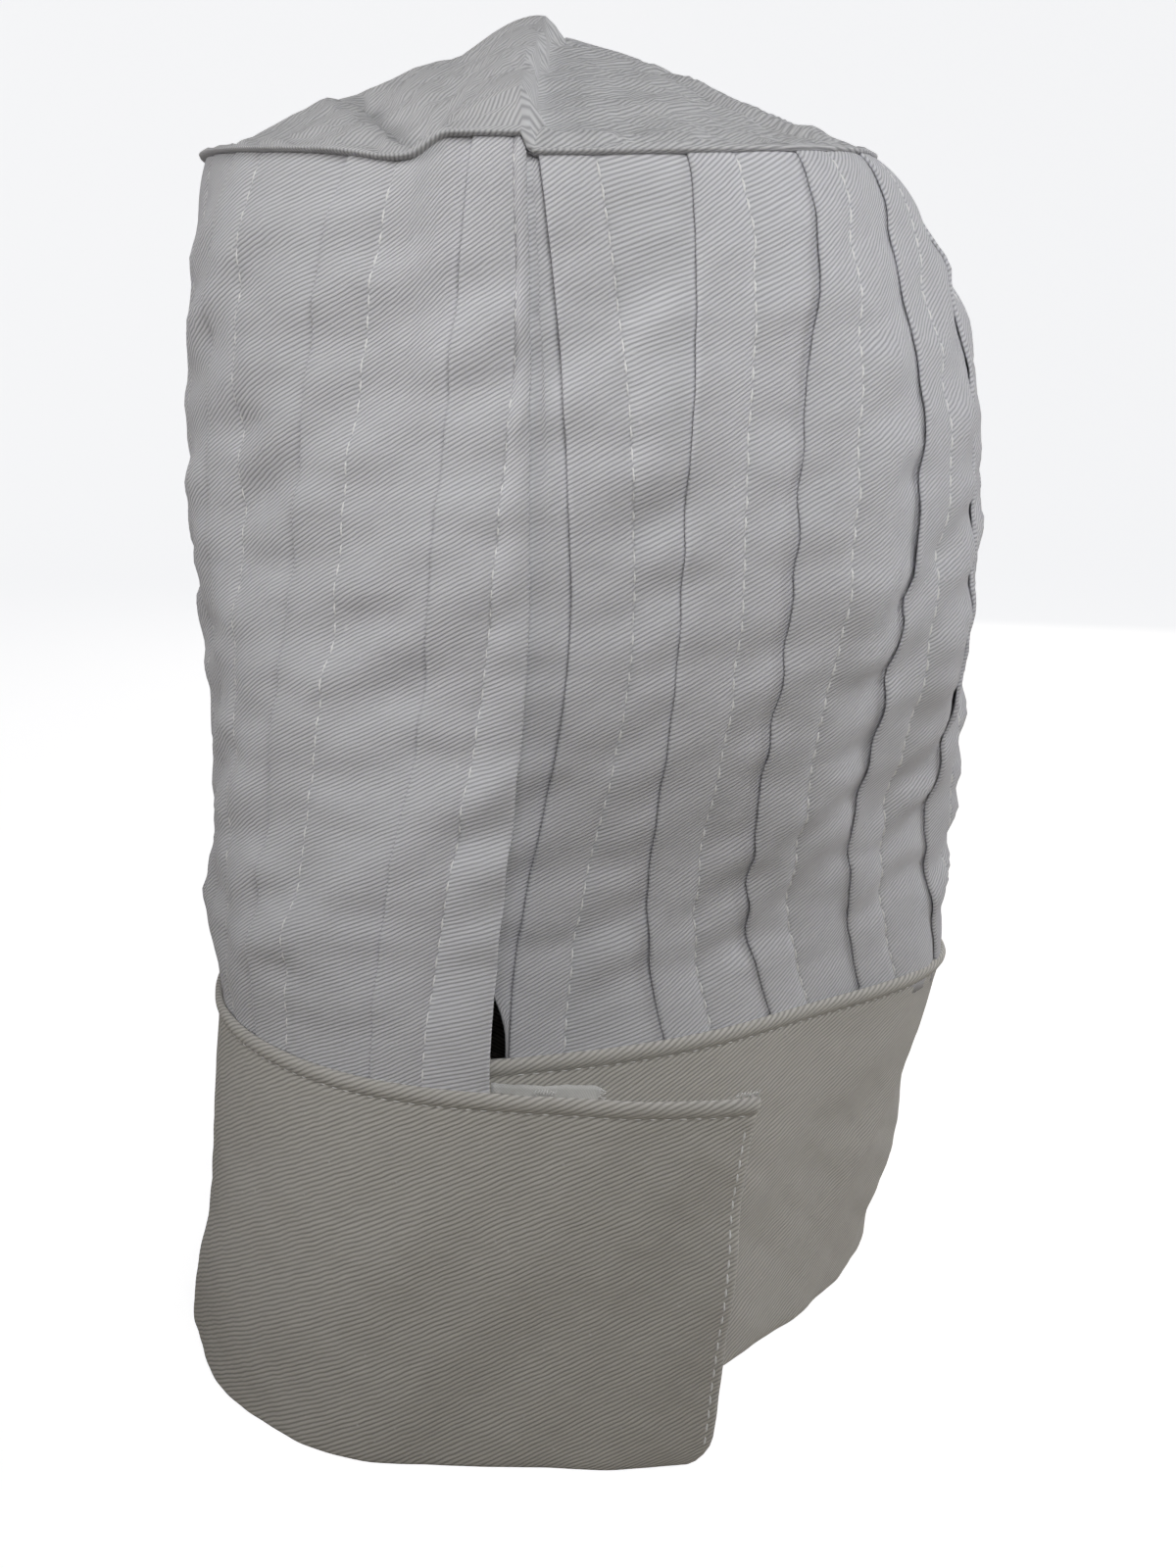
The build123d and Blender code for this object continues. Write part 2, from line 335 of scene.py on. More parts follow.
wall_places = np.empty((*columns_share.shape, 3))
wall_outward = np.empty((*columns_share.shape, 3))
for r in range(len(wall_rows)):
    for axis in range(3):
        wall_places[r, :, axis] = np.interp(columns_share[r], base_shares, base[r, :, axis])
        wall_outward[r, :, axis] = np.interp(columns_share[r], base_shares, outward[r, :, axis])
beyond = np.maximum(columns_share - 1.0, 0) * head_girth
wall_places[..., :2] += run[:, -1][:, None] * beyond[..., None]
wall_places -= wall_outward * columns_depth[..., None]
pucker = 0.17 * ripple(np.arange(columns_share.shape[1])[None] / 24, wall_rows[:, None], 15, 0.7, 8.0)
wall_places += wall_outward * (pucker * held[:, None])[..., None]

middle_row = len(wall_rows) // 2
along_cloth = np.linalg.norm(np.diff(wall_places[middle_row], axis=0), axis=1)
wall_u = np.concatenate([[0], np.cumsum(along_cloth)])
wall_flat = np.stack(np.meshgrid(wall_u, wall_rows), -1)
pleated_wall = cloth_grid("pleated_wall_twill", wall_places, wall_flat, flip=True)
thicken(pleated_wall, cloth_thickness)


def node_group(name, inputs, outputs):
    """An empty shader node group with the sockets named, and its input and output nodes."""
    group = bpy.data.node_groups.new(name, "ShaderNodeTree")
    for label, kind, value in inputs:
        socket = group.interface.new_socket(label, in_out="INPUT", socket_type=kind)
        if value is not None:
            socket.default_value = value
    for label, kind in outputs:
        group.interface.new_socket(label, in_out="OUTPUT", socket_type=kind)
    return group, group.nodes.new("NodeGroupInput"), group.nodes.new("NodeGroupOutput")


def join(tree, source, target):
    """Feeds a socket, or sets a plain value on it."""
    if isinstance(source, (int, float, tuple)):
        target.default_value = source
    else:
        tree.links.new(source, target)


def reckon(tree, operation, *values, clamp=False):
    """One step of arithmetic in a node tree."""
    node = tree.nodes.new("ShaderNodeMath")
    node.operation = operation
    node.use_clamp = clamp
    for socket, value in zip(node.inputs, values):
        join(tree, value, socket)
    return node.outputs[0]


def weighed(tree, first, share, second, other_share, clamp=False):
    """Two values added up, each times its own share."""
    first_part = reckon(tree, "MULTIPLY", first, share)
    second_part = reckon(tree, "MULTIPLY", second, other_share)
    return reckon(tree, "ADD", first_part, second_part, clamp=clamp)


def cloud(tree, vector, scale, detail=2.0, roughness=0.5):
    """A noise value between 0 and 1."""
    node = tree.nodes.new("ShaderNodeTexNoise")
    node.inputs["Scale"].default_value = scale
    node.inputs["Detail"].default_value = detail
    node.inputs["Roughness"].default_value = roughness
    join(tree, vector, node.inputs["Vector"])
    return node.outputs["Fac"]


def blend_colours(tree, factor, first, second):
    """A mix of two colours by a factor."""
    node = tree.nodes.new("ShaderNodeMix")
    node.data_type = "RGBA"
    join(tree, factor, node.inputs["Factor"])
    join(tree, first, node.inputs["A"])
    join(tree, second, node.inputs["B"])
    return node.outputs["Result"]


def vector_of(tree, x, y, z=0.0):
    """A vector from three values."""
    node = tree.nodes.new("ShaderNodeCombineXYZ")
    for socket, value in zip(node.inputs, (x, y, z)):
        join(tree, value, socket)
    return node.outputs[0]


def twill_weave_group():
    """Slanting twill ribs with slubs: the ribs as a mask, and the surface height in millimetres."""
    group, given, result = node_group(
        "twill_weave",
        [("Flat", "NodeSocketVector", None), ("Rib Pitch", "NodeSocketFloat", 0.00102),
         ("Lean", "NodeSocketFloat", 0.4)],
        [("Ribs", "NodeSocketFloat"), ("Slubs", "NodeSocketFloat"), ("Height", "NodeSocketFloat")],
    )
    part = group.nodes.new("ShaderNodeSeparateXYZ")
    join(group, given.outputs["Flat"], part.inputs[0])
    u, v = part.outputs[0], part.outputs[1]
    sine = reckon(group, "SINE", given.outputs["Lean"])
    cosine = reckon(group, "COSINE", given.outputs["Lean"])
    across = weighed(group, v, cosine, u, sine)
    along = reckon(group, "SUBTRACT", reckon(group, "MULTIPLY", v, sine),
                   reckon(group, "MULTIPLY", u, cosine))
    wander = cloud(group, given.outputs["Flat"], 130.0, 2.0)
    phase = reckon(group, "DIVIDE", across, given.outputs["Rib Pitch"])
    phase = reckon(group, "ADD", phase, reckon(group, "MULTIPLY", wander, 0.9))
    wave = reckon(group, "SINE", reckon(group, "MULTIPLY", phase, 2 * math.pi))
    groove = reckon(group, "MULTIPLY_ADD", wave, -0.5, 0.5)
    ribs = reckon(group, "SUBTRACT", 1.0, reckon(group, "POWER", groove, 1.6))
    streak_place = vector_of(group, reckon(group, "MULTIPLY", across, 1300.0),
                             reckon(group, "MULTIPLY", along, 160.0))
    slubs = cloud(group, streak_place, 1.0, 3.0, 0.6)
    yarn_place = vector_of(group, reckon(group, "MULTIPLY", u, 2600.0),
                           reckon(group, "MULTIPLY", v, 2600.0))
    yarns = cloud(group, yarn_place, 1.0, 1.0)
    height = weighed(group, ribs, 0.09, slubs, 0.06)
    height = reckon(group, "ADD", height, reckon(group, "MULTIPLY", yarns, 0.03))
    join(group, ribs, result.inputs["Ribs"])
    join(group, slubs, result.inputs["Slubs"])
    join(group, height, result.inputs["Height"])
    return group


def cloth_tone_group():
    """Handling marks of worn white cloth: broad soft shade, and small lint specks."""
    group, given, result = node_group(
        "cloth_tone", [("Flat", "NodeSocketVector", None)],
        [("Shade", "NodeSocketFloat"), ("Lint", "NodeSocketFloat")],
    )
    broad = cloud(group, given.outputs["Flat"], 14.0, 3.0, 0.55)
    narrow = cloud(group, given.outputs["Flat"], 70.0, 2.0)
    shade = weighed(group, broad, 0.7, narrow, 0.3)
    specks = cloud(group, given.outputs["Flat"], 520.0, 1.0)
    lint = reckon(group, "MULTIPLY", reckon(group, "SUBTRACT", specks, 0.74, clamp=True), 5.0, clamp=True)
    join(group, shade, result.inputs["Shade"])
    join(group, lint, result.inputs["Lint"])
    return group


twill_weave = twill_weave_group()
cloth_tone = cloth_tone_group()


def use_group(tree, group, **values):
    """Places a node group in a material, with its own values."""
    node = tree.nodes.new("ShaderNodeGroup")
    node.node_tree = group
    for label, value in values.items():
        join(tree, value, node.inputs[label.replace("_", " ")])
    return node.outputs


def new_material(name, roughness):
    """A material with a plain shader, and its tree."""
    made = bpy.data.materials.new(name)
    made.use_nodes = True
    shader = made.node_tree.nodes["Principled BSDF"]
    shader.inputs["Roughness"].default_value = roughness
    shader.inputs["Specular IOR Level"].default_value = 0.25
    return made, made.node_tree, shader


def bump(tree, shader, height, strength, distance):
    """Lets a height in millimetres roughen the surface."""
    node = tree.nodes.new("ShaderNodeBump")
    node.inputs["Strength"].default_value = strength
    node.inputs["Distance"].default_value = distance
    join(tree, height, node.inputs["Height"])
    join(tree, node.outputs["Normal"], shader.inputs["Normal"])


def twill_material(name, rib_colour, groove_shade_colour, lean, pitch):
    """White twill: the grooves between the ribs painted darker as painted shade, with slubs, soft shade and
    lint.
    """
    made, tree, shader = new_material(name, 0.88)
    shader.inputs["Sheen Weight"].default_value = 0.12
    shader.inputs["Sheen Roughness"].default_value = 0.5
    shader.inputs["Subsurface Weight"].default_value = 0.1
    shader.inputs["Subsurface Radius"].default_value = (0.9, 0.86, 1.15)
    shader.inputs["Subsurface Scale"].default_value = 1.3 * mm
    flat = tree.nodes.new("ShaderNodeUVMap").outputs["UV"]
    weave = use_group(tree, twill_weave, Flat=flat, Lean=lean, Rib_Pitch=pitch * mm)
    tone = use_group(tree, cloth_tone, Flat=flat)
    # Painted shade: the grooves between the ribs take the dark groove colour, standing in for the shade the
    # rib relief would cast.
    mask = weighed(tree, weave["Ribs"], 0.7, weave["Slubs"], 0.4, clamp=True)
    woven = blend_colours(tree, mask, groove_shade_colour, rib_colour)
    dull = tuple(0.86 * c for c in rib_colour[:3]) + (1.0,)
    worn = blend_colours(tree, reckon(tree, "MULTIPLY", tone["Shade"], 0.28), woven, dull)
    linty = blend_colours(tree, tone["Lint"], worn, (0.9, 0.9, 0.9, 1.0))
    join(tree, linty, shader.inputs["Base Color"])
    rough = reckon(tree, "MULTIPLY_ADD", weave["Slubs"], 0.12, 0.82)
    join(tree, rough, shader.inputs["Roughness"])
    bump(tree, shader, weave["Height"], 1.0, 1.3 * mm)
    return made


wall_lean = math.radians(28)
# The dark second colour is painted shade in the grooves between the ribs.
wall_twill = twill_material(
    "white_wall_twill", (0.87, 0.87, 0.9, 1.0), (0.33, 0.33, 0.36, 1.0), wall_lean, 0.88
)
pleated_wall.data.materials.append(wall_twill)
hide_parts("pleated_wall")
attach(pleated_wall, "hat")

# --- Pleat stitching ---
# White sewing thread, one row down each pleat, half the pleat's depth from its fold. Every stitch is
# a short length of thread that dives into the cloth at both ends.
stitch_pitch = 4.4
stitch_length = 3.7
thread_radius = 0.28

bpy.ops.object.select_all(action="DESELECT")
bpy.ops.mesh.primitive_uv_sphere_add(segments=6, ring_count=6, radius=1)
one_stitch = bpy.context.object
stitch_shape = np.array([v.co for v in one_stitch.data.vertices], float)
stitch_faces = [tuple(f.vertices) for f in one_stitch.data.polygons]
bpy.data.objects.remove(one_stitch)


def stitch_row(places, outward, pitch=stitch_pitch, length=stitch_length, radius=thread_radius,
               seed=0):
    """Every stitch along a line of places, each a thread length lying along it."""
    draw = np.random.default_rng(seed)
    lengths = np.concatenate([[0], np.cumsum(np.linalg.norm(np.diff(places, axis=0), axis=1))])
    middles = np.arange(pitch / 2, lengths[-1] - pitch / 2, pitch)
    made = []
    for middle in middles:
        reach = length * draw.uniform(0.9, 1.05) / 2
        before, place, after = at_length(places, lengths, np.array([middle - reach, middle, middle + reach]))
        ahead = (after - before) / np.linalg.norm(after - before)
        up = at_length(outward, lengths, np.array([middle]))[0]
        up = up - ahead * (up @ ahead)
        up /= np.linalg.norm(up)
        side = np.cross(up, ahead)
        shape = stitch_shape * (radius, radius, reach)
        bow = 0.14 - 0.3 * (shape[:, 2:3] / reach) ** 2
        slant = draw.uniform(-0.12, 0.12) * shape[:, 2:3] / reach
        made.append(
            place + shape[:, :1] * side + shape[:, 1:2] * up + shape[:, 2:3] * ahead
            + up * bow + side * slant
        )
    return made


def sewn(name, stitches, material, body, node):
    """One object of many stitches, standing for a thread node."""
    count = len(stitch_shape)
    faces = [tuple(i + n * count for i in face) for n in range(len(stitches)) for face in stitch_faces]
    mesh = bpy.data.meshes.new(name)
    mesh.from_pydata(in_frame(np.concatenate(stitches)), [], faces)
    mesh.shade_smooth()
    thread = bpy.data.objects.new(name, mesh)
    bpy.context.scene.collection.objects.link(thread)
    mesh.materials.append(material)
    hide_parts(*node)
    if body:
        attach(thread, body)
    return thread


def thread_material():
    """Bright spun thread, with a fine twist."""
    made, tree, shader = new_material("white_sewing_thread", 0.62)
    shader.inputs["Sheen Weight"].default_value = 0.2
    place = tree.nodes.new("ShaderNodeTexCoord").outputs["Object"]
    twist = cloud(tree, place, 2600.0, 1.0)
    tone = cloud(tree, place, 90.0, 1.0)
    mixed = weighed(tree, twist, 0.6, tone, 0.4)
    colour = blend_colours(tree, mixed, (0.92, 0.92, 0.91, 1.0), (1.0, 1.0, 0.99, 1.0))
    join(tree, colour, shader.inputs["Base Color"])
    bump(tree, shader, twist, 0.5, 0.1 * mm)
    return made


white_thread = thread_material()
pleat_stitches = []
for k, column in enumerate(stitch_lines):
    inside = slice(3, len(wall_rows) - 1)
    line = wall_places[inside, column] + wall_outward[inside, column] * 0.5 * cloth_thickness
    pleat_stitches += stitch_row(line, wall_outward[inside, column], seed=k)
sewn("pleat_topstitching", pleat_stitches, white_thread, "hat", ["pleat_stitching"])

# --- Crown ---
# A round of the same twill, larger than the ring that it is sewn to, so it stands in a soft tent with
# a standing crease above the slit and a pinched fold to its left. Its allowance is turned inside.
crown_rise = 40.0
crown_overhang = 1.8
crown_cells = 96
crown_ease = 1.04
tent_profile = [
    (0.0, 0.97), (0.1, 0.96), (0.2, 0.89), (0.32, 0.77), (0.46, 0.61), (0.62, 0.43), (0.78, 0.24),
    (0.92, 0.08), (1.0, 0.0),
]
tent_line, _, _ = smooth_line(tent_profile)

u, v = np.meshgrid(np.linspace(-1, 1, crown_cells + 1), np.linspace(-1, 1, crown_cells + 1))
disc_x = u * np.sqrt(1 - v**2 / 2)
disc_y = v * np.sqrt(1 - u**2 / 2)
radius = np.hypot(disc_x, disc_y)
crown_bearing = np.degrees(np.arctan2(-disc_x, -disc_y))


def fold(x, y, start, end, height, left, right, wander=0.0):
    """A fold that stands up along a line in plan: how soft it is to its left and to its right."""
    start, end = np.array(start, float), np.array(end, float)
    length = np.linalg.norm(end - start)
    ahead = (end - start) / length
    along = ((x - start[0]) * ahead[0] + (y - start[1]) * ahead[1]) / length
    side = -(x - start[0]) * ahead[1] + (y - start[1]) * ahead[0]
    side = side + wander * np.sin(math.pi * along)
    soft = np.where(side > 0, left, right)
    fade = ease((along + 0.12) / 0.2) * ease((1.12 - along) / 0.2)
    return height * fade * np.exp(-((side / soft) ** 2))


crown_x = seam_centre[0] + (seam_radius_x + crown_overhang) * disc_x
crown_y = seam_centre[1] + (seam_radius_y + crown_overhang) * disc_y
crown_z = crown_seam + crown_rise * np.interp(radius, tent_line[:, 0], tent_line[:, 1])
crown_z += seam_lift(crown_bearing) * radius**2.2
inner = ease((1 - radius) / 0.1)
creases = fold(crown_x, crown_y, (-9.0, -18), (-12.0, -97), 6.5, 1.1, 15, 1.5)
creases += fold(crown_x, crown_y, (-62, -30), (-38, -90), 2.4, 2.4, 11, 3)
creases -= fold(crown_x, crown_y, (-52, -30), (-32, -91), 4.0, 7, 2.4, 2)
creases += fold(crown_x, crown_y, (12, 8), (66, 20), 2.6, 12, 7, -5)
creases += fold(crown_x, crown_y, (-4, 26), (20, 92), 3.5, 9, 5, 3)
creases += fold(crown_x, crown_y, (-34, 14), (-76, 48), 3.0, 6, 10, -4)
creases += fold(crown_x, crown_y, (22, -26), (58, -54), 2.0, 7, 4, 2)
crown_z += creases * inner
crown_z += 0.8 * ripple(crown_x, crown_y, 3, 60, 50) * inner
crown_places = np.stack([crown_x, crown_y, crown_z], -1)
crown_flat = crown_ease * np.stack([seam_centre[0] - crown_x, crown_y - seam_centre[1]], -1)
crown_panel = cloth_grid("crown_panel_twill", crown_places, crown_flat)


def settle(cloth, holds, growth, frames, gravity):
    """Lets a sheet fall and buckle by cloth simulation, held by each point's share, and keeps it so."""
    group = cloth.vertex_groups.new(name="held")
    for i, hold in enumerate(holds):
        group.add([i], float(hold), "REPLACE")
    bpy.ops.object.select_all(action="DESELECT")
    cloth.select_set(True)
    bpy.context.view_layer.objects.active = cloth
    falling = cloth.modifiers.new("fall", "CLOTH")
    settings = falling.settings
    settings.quality = 6
    settings.mass = 0.15
    settings.tension_stiffness = 25
    settings.compression_stiffness = 25
    settings.shear_stiffness = 8
    settings.bending_stiffness = 0.6
    settings.tension_damping = 8
    settings.compression_damping = 8
    settings.shear_damping = 8
    settings.bending_damping = 1
    settings.air_damping = 3
    settings.shrink_min = -growth
    settings.vertex_group_mass = group.name
    settings.pin_stiffness = 1
    settings.effector_weights.gravity = gravity
    falling.point_cache.frame_start = 1
    falling.point_cache.frame_end = frames
    for step in range(1, frames + 1):
        bpy.context.scene.frame_set(step)
    bpy.ops.object.modifier_apply(modifier=falling.name)
    bpy.context.scene.frame_set(1)
    cloth.vertex_groups.clear()


holds = np.where(radius > 0.985, 1.0, 0.25).reshape(-1)
settle(crown_panel, holds, growth=0.03, frames=16, gravity=0.4)

bpy.ops.object.select_all(action="DESELECT")
crown_panel.select_set(True)
bpy.context.view_layer.objects.active = crown_panel
turned_steps = [(0.998, -0.3), (0.99, -0.3), (0.98, -0.1), (0.97, -0.3), (0.966, -3.0), (0.964, -5.0)]
woven_points = len(crown_panel.data.vertices)
bpy.ops.object.mode_set(mode="EDIT")
bpy.ops.mesh.select_all(action="SELECT")
bpy.ops.mesh.region_to_loop()
seam_middle = (
    (seam_centre[0] - footprint_centre[0]) * mm, (seam_centre[1] - footprint_centre[1]) * mm, 0,
)
shrink_from = 1.0
for shrink, drop in turned_steps:
    ratio = shrink / shrink_from
    shrink_from = shrink
    bpy.ops.mesh.extrude_region_move()
    bpy.ops.transform.resize(value=(ratio, ratio, 1), center_override=seam_middle)
    bpy.ops.transform.translate(value=(0, 0, drop * mm))
bpy.ops.object.mode_set(mode="OBJECT")
corners = np.empty(len(crown_panel.data.loops), int)
crown_panel.data.loops.foreach_get("vertex_index", corners)
points = np.empty(3 * len(crown_panel.data.vertices))
crown_panel.data.vertices.foreach_get("co", points)
points = points.reshape(-1, 3)[corners]
corner_flat = np.empty(2 * len(corners))
crown_panel.data.uv_layers.active.data.foreach_get("uv", corner_flat)
corner_flat = corner_flat.reshape(-1, 2)
turned = corners >= woven_points
step_of = (corners[turned] - woven_points) // (4 * crown_cells)
shrinks = np.array([shrink for shrink, _ in turned_steps])
inward_run = -np.diff(np.concatenate([[1.0], shrinks])) * seam_radius_x
turn_run = np.cumsum(np.hypot(inward_run, [drop for _, drop in turned_steps]))
grown = crown_ease * (1 + turn_run / seam_radius_x) / shrinks
corner_flat[turned, 0] = -(points[turned, 0] - seam_middle[0]) * grown[step_of]
corner_flat[turned, 1] = (points[turned, 1] - seam_middle[1]) * grown[step_of]
crown_panel.data.uv_layers.active.data.foreach_set("uv", corner_flat.reshape(-1))
thicken(crown_panel, cloth_thickness)
crown_lean = math.radians(50)
# Painted shade: the crown's colours are a darker copy of the wall twill's, standing in for the dimmer light
# on its upward-facing top; the dark second colour is painted shade in the grooves.
crown_painted_shade_twill = twill_material(
    "white_crown_painted_shade_twill", (0.74, 0.74, 0.75, 1.0), (0.3, 0.3, 0.315, 1.0), crown_lean, 0.95
)
crown_panel.data.materials.append(crown_painted_shade_twill)
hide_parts("crown_panel")
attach(crown_panel, "hat")

seam_turn = np.linspace(0, 2 * math.pi, 241)
seam_shrink = 0.962
seam_row = np.stack([
    seam_centre[0] - seam_shrink * seam_radius_x * np.sin(seam_turn),
    seam_centre[1] - seam_shrink * seam_radius_y * np.cos(seam_turn),
    crown_seam - 4 + seam_lift(np.degrees(seam_turn)),
], -1)
seam_inward = np.stack([np.sin(seam_turn), np.cos(seam_turn), 0 * seam_turn], -1)
sewn("crown_seam_thread", stitch_row(seam_row, seam_inward, 3.2, 2.8), white_thread, "hat",
     ["crown_seam_stitching"])

# --- Head band and closure tab ---
# A straight double strip of twill round a stiff interlining, turned in along its top and its ends.
# It closes round the foot of the pleats in a loose spiral: one end lies inside as an underlap, and
# the other laps over it at the slit as the closure tab.
tab_line = [(42.0, -96.0), (27.0, -101.8), (12.0, -104.6), (-4.0, -104.8)]
tab_end_top_x = 38.0
tab_end_bottom_x = 28.0
tab_end_drop = 3.0
tab_lift = 0.6
tab_corner_radius = 7.0
tab_length = 58.0
band_length = 602.0
even = np.linspace(0, 1, 21)
rim_stations = evenly(rim_plan, even)
hem_stations = evenly(band_top_plan, even)


def tab_end_x(z):
    """Where the tab ends at a height: its end edge leans, and its lower corner is rounded."""
    corner = tab_corner_radius - max(z, 0.0)
    rounding = tab_corner_radius - math.sqrt(tab_corner_radius**2 - corner**2) if corner > 0 else 0.0
    return tab_end_bottom_x + (tab_end_top_x - tab_end_bottom_x) * z / band_top - rounding


def band_surface(heights, where, depth):
    """Places on the band at heights (rows) and stations (columns), some depth behind its outer face.

    Stations run from -1 at the tab's end to 0 at its root, and on round to 1 at the underlap's end.
    """
    depth = np.broadcast_to(depth, (len(heights), len(where)))
    places = np.empty((len(heights), len(where), 3))
    outward = np.zeros((len(heights), len(where), 3))
    for r, z in enumerate(heights):
        share = min(max(z / band_top, 0.0), 1.0)
        plan = np.vstack([tab_line, rim_stations + (hem_stations - rim_stations) * share])
        line, lengths, knots = smooth_line(plan, 1600)
        root = knots[len(tab_line)]
        on_tab = lengths <= root
        end = np.interp(-tab_end_x(z), -line[on_tab, 0], lengths[on_tab])
        at = np.where(where < 0, root + where * (root - end), root + where * (lengths[-1] - root))
        run = at_length(np.gradient(line, axis=0), lengths, at)
        run /= np.linalg.norm(run, axis=1, keepdims=True)
        outward[r, :, 0], outward[r, :, 1] = -run[:, 1], run[:, 0]
        girth = at - root
        level = 0 * girth + z
        soft = 0.9 * ripple(girth, level, 21, 130, 120) + 0.5 * ripple(girth + 0.6 * level, level, 27, 52, 48)
        soft += 0.16 * ripple(girth - level, level, 28, 22, 26)
        soft *= 0.45 + 0.55 * ease(np.abs(girth) / 60)
        soft *= 1 - ease(girth / 12 + 1) * ease((z - 58) / 24)
        places[r, :, :2] = at_length(line, lengths, at)
        toward_end = np.clip(-where, 0, 1)
        places[r, :, 2] = z - tab_end_drop * share * toward_end**1.3 + tab_lift * (1 - share) * toward_end
        places[r] += outward[r] * (soft - depth[r])[:, None]
    return places, outward


def girth_of(where):
    """Stations on the band, as millimetres of cloth from the tab's root."""
    return np.where(where < 0, where * tab_length, where * band_length)


def end_depths(where, first_edge, last_edge):
    """How far the cloth's two turned ends lie behind its face, at every station."""
    depths = np.zeros(len(where))
    depths[: len(first_edge)] = [depth for _, depth in first_edge]
    depths[-len(last_edge):] = [depth for _, depth in last_edge]
    return depths


band_ply = 0.5
tab_edge = [(1.6, 1.15), (0.5, 1.05), (0.05, 0.75), (0.0, 0.45), (0.25, 0.12), (1.2, 0.0), (2.3, 0.06)]
tab_stations = [-1 + along / tab_length for along, _ in tab_edge]
tab_stations += list(np.linspace(-1 + 4.2 / tab_length, -0.02, 34))
band_stations = list(np.linspace(0.004, 0.994, 300))
end_edge = [(1.2, 0.0), (0.25, 0.12), (0.0, 0.45), (0.05, 0.75), (0.5, 1.05), (1.6, 1.15)]
end_stations = [1 - along / band_length for along, _ in end_edge]
band_where = np.array(tab_stations + band_stations + end_stations)
edge_depth = end_depths(band_where, tab_edge, end_edge)

outer_foot = [(3.0, 1.2), (1.2, 1.15), (0.5, 0.95), (0.3, 0.6), (0.45, 0.28), (1.1, 0.08), (2.6, 0.0)]
outer_top = [
    (86.2, -0.1), (87.8, -0.15), (88.6, 0.05), (89.0, -0.3), (89.6, -0.9), (90.6, -1.35), (91.6, -1.38),
    (92.4, -1.05), (92.75, -0.55), (92.4, -0.1), (91.2, 0.02), (88.5, 0.05), (86.4, 0.05),
]
groove_height = 88.6
band_face = [(z, 0.0) for z in np.linspace(4.6, 84.0, 44)]
outer_profile = outer_foot + band_face + outer_top
outer_heights = [z for z, _ in outer_profile]
outer_depth = np.array([depth for _, depth in outer_profile])[:, None] + edge_depth[None]
outer_places, outer_outward = band_surface(outer_heights, band_where, outer_depth)
profile_run = np.hypot(np.diff(outer_heights), np.diff([depth for _, depth in outer_profile]))
outer_v = np.concatenate([[0], np.cumsum(profile_run)])
outer_flat = np.stack(np.meshgrid(girth_of(band_where), outer_v), -1)
band_outer = cloth_grid("band_outer_twill", outer_places, outer_flat, flip=True)
thicken(band_outer, band_ply)

# Painted shade: the band's colours are darker than the wall twill's, standing in for the dimmer light low on
# the hat; the dark second colour is painted shade in the grooves.
band_painted_shade_twill = twill_material(
    "white_band_painted_shade_twill", (0.76, 0.735, 0.69, 1.0), (0.27, 0.26, 0.235, 1.0), math.radians(27), 1.04
)
band_outer.data.materials.append(band_painted_shade_twill)
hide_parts("band_outer", "closure_tab_outer")
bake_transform(band_outer)

stiff_heights = np.linspace(1.6, 90.0, 24)
stiff_where = np.concatenate([
    np.linspace(-1 + 1.8 / tab_length, -0.02, 20), np.linspace(0.004, 1 - 1.8 / band_length, 200),
])
stiff_places, _ = band_surface(stiff_heights, stiff_where, 0.85)
stiff_flat = np.stack(np.meshgrid(girth_of(stiff_where), stiff_heights), -1)
band_stiffener = cloth_grid("band_interlining_felt", stiff_places, stiff_flat, flip=True)
thicken(band_stiffener, 0.3)


def felt_material():
    """Bonded non-woven stiffener: short fibres lying every way."""
    made, tree, shader = new_material("bonded_interlining", 0.95)
    flat = tree.nodes.new("ShaderNodeUVMap").outputs["UV"]
    fibres = cloud(tree, flat, 900.0, 4.0, 0.7)
    patches = cloud(tree, flat, 120.0, 2.0)
    mask = weighed(tree, fibres, 0.7, patches, 0.3)
    colour = blend_colours(tree, mask, (0.7, 0.7, 0.68, 1.0), (0.88, 0.88, 0.86, 1.0))
    join(tree, colour, shader.inputs["Base Color"])
    bump(tree, shader, fibres, 0.6, 0.2 * mm)
    return made


band_stiffener.data.materials.append(felt_material())
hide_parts("band_interlining", "closure_tab_interlining")
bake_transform(band_stiffener)

facing_edge = [(1.7, -0.4), (0.7, -0.35), (0.35, -0.12), (0.7, 0.0)]
facing_where = np.array(
    [-1 + along / tab_length for along, _ in facing_edge]
    + list(np.linspace(-1 + 2.6 / tab_length, -0.02, 30)) + list(np.linspace(0.004, 0.994, 280))
    + [1 - along / band_length for along, _ in facing_edge[::-1]]
)
facing_edge_depth = end_depths(facing_where, facing_edge, facing_edge[::-1])
facing_profile = [(2.6, 1.25), (1.0, 1.3), (0.6, 1.5), (1.1, 1.75), (2.8, 1.85)]
facing_profile += [(z, 1.85) for z in np.linspace(5, 78, 26)]
facing_profile += [(82, 2.2), (86, 2.75), (89, 2.95), (90.9, 2.98), (91.6, 2.75), (91.2, 2.5), (89.5, 2.45)]
facing_heights = [z for z, _ in facing_profile]
facing_depth = np.array([depth for _, depth in facing_profile])[:, None] * np.ones((1, len(facing_where)))
on_band = ease((facing_where + 0.25) / 0.25)[None]
facing_depth = 1.55 + (facing_depth - 1.55) * np.where(facing_depth > 1.9, on_band, 1.0)
facing_places, _ = band_surface(facing_heights, facing_where, facing_depth + facing_edge_depth[None])
facing_flat = np.stack(np.meshgrid(girth_of(facing_where), facing_heights), -1)
band_facing = cloth_grid("band_facing_twill", facing_places, facing_flat)
thicken(band_facing, 0.4)
band_facing.data.materials.append(band_painted_shade_twill)
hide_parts("band_facing", "closure_tab_facing")
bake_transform(band_facing)

